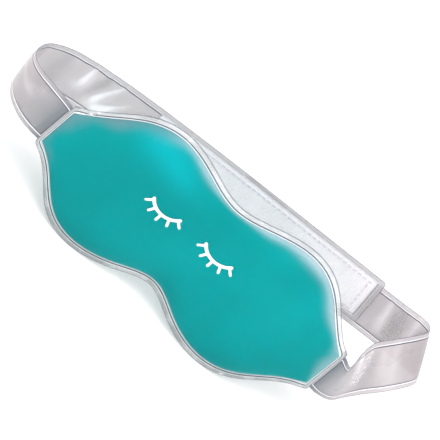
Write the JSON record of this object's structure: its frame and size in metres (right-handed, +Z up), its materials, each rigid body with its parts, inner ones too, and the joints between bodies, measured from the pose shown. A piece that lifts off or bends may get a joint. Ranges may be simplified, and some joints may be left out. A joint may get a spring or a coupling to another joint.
{
  "type": "gel eye pillow",
  "caption": "Gel-filled eye pillow: a two-lobed welded film pouch on two clear film straps that close behind the head with hook-and-loop tape.",
  "frame": {"origin": "middle of the flat rest on the pouch's back, which lies on the face", "axes": "+X to the right as seen from in front of the wearer, +Y from the pouch towards the back of the head, +Z up the face"},
  "size_m": [0.2786, 0.074, 0.0986],
  "materials": {
    "film": "clear soft PVC, faintly frosted",
    "gel": "turquoise gel",
    "ink": "white screen-printing ink",
    "strap_film": "clear soft PVC",
    "tape": "white napped nylon",
    "thread": "polyester thread"
  },
  "bodies": {
    "pouch": {"front_film": "film", "back_film": "film", "gel_fill": "gel", "printed_mark": "ink"},
    "left_strap": {"left_strap_inner_film": "strap_film", "left_strap_outer_film": "strap_film", "loop_tape": "tape", "loop_tape_stitching": "thread"},
    "right_strap": {"right_strap_inner_film": "strap_film", "right_strap_outer_film": "strap_film", "hook_tape": "tape", "hook_tape_stitching": "thread"}
  },
  "joints": [
    {"name": "left_strap_fold", "type": "hinge", "parent": "pouch", "child": "left_strap", "pos_m": [-0.0989, -0.0035, 0], "axis": [0, 0, -1], "range_deg": [0, 8]},
    {"name": "right_strap_fold", "type": "hinge", "parent": "pouch", "child": "right_strap", "pos_m": [0.0989, -0.0035, 0], "axis": [0, 0, -1], "range_deg": [0, 95]}
  ]
}
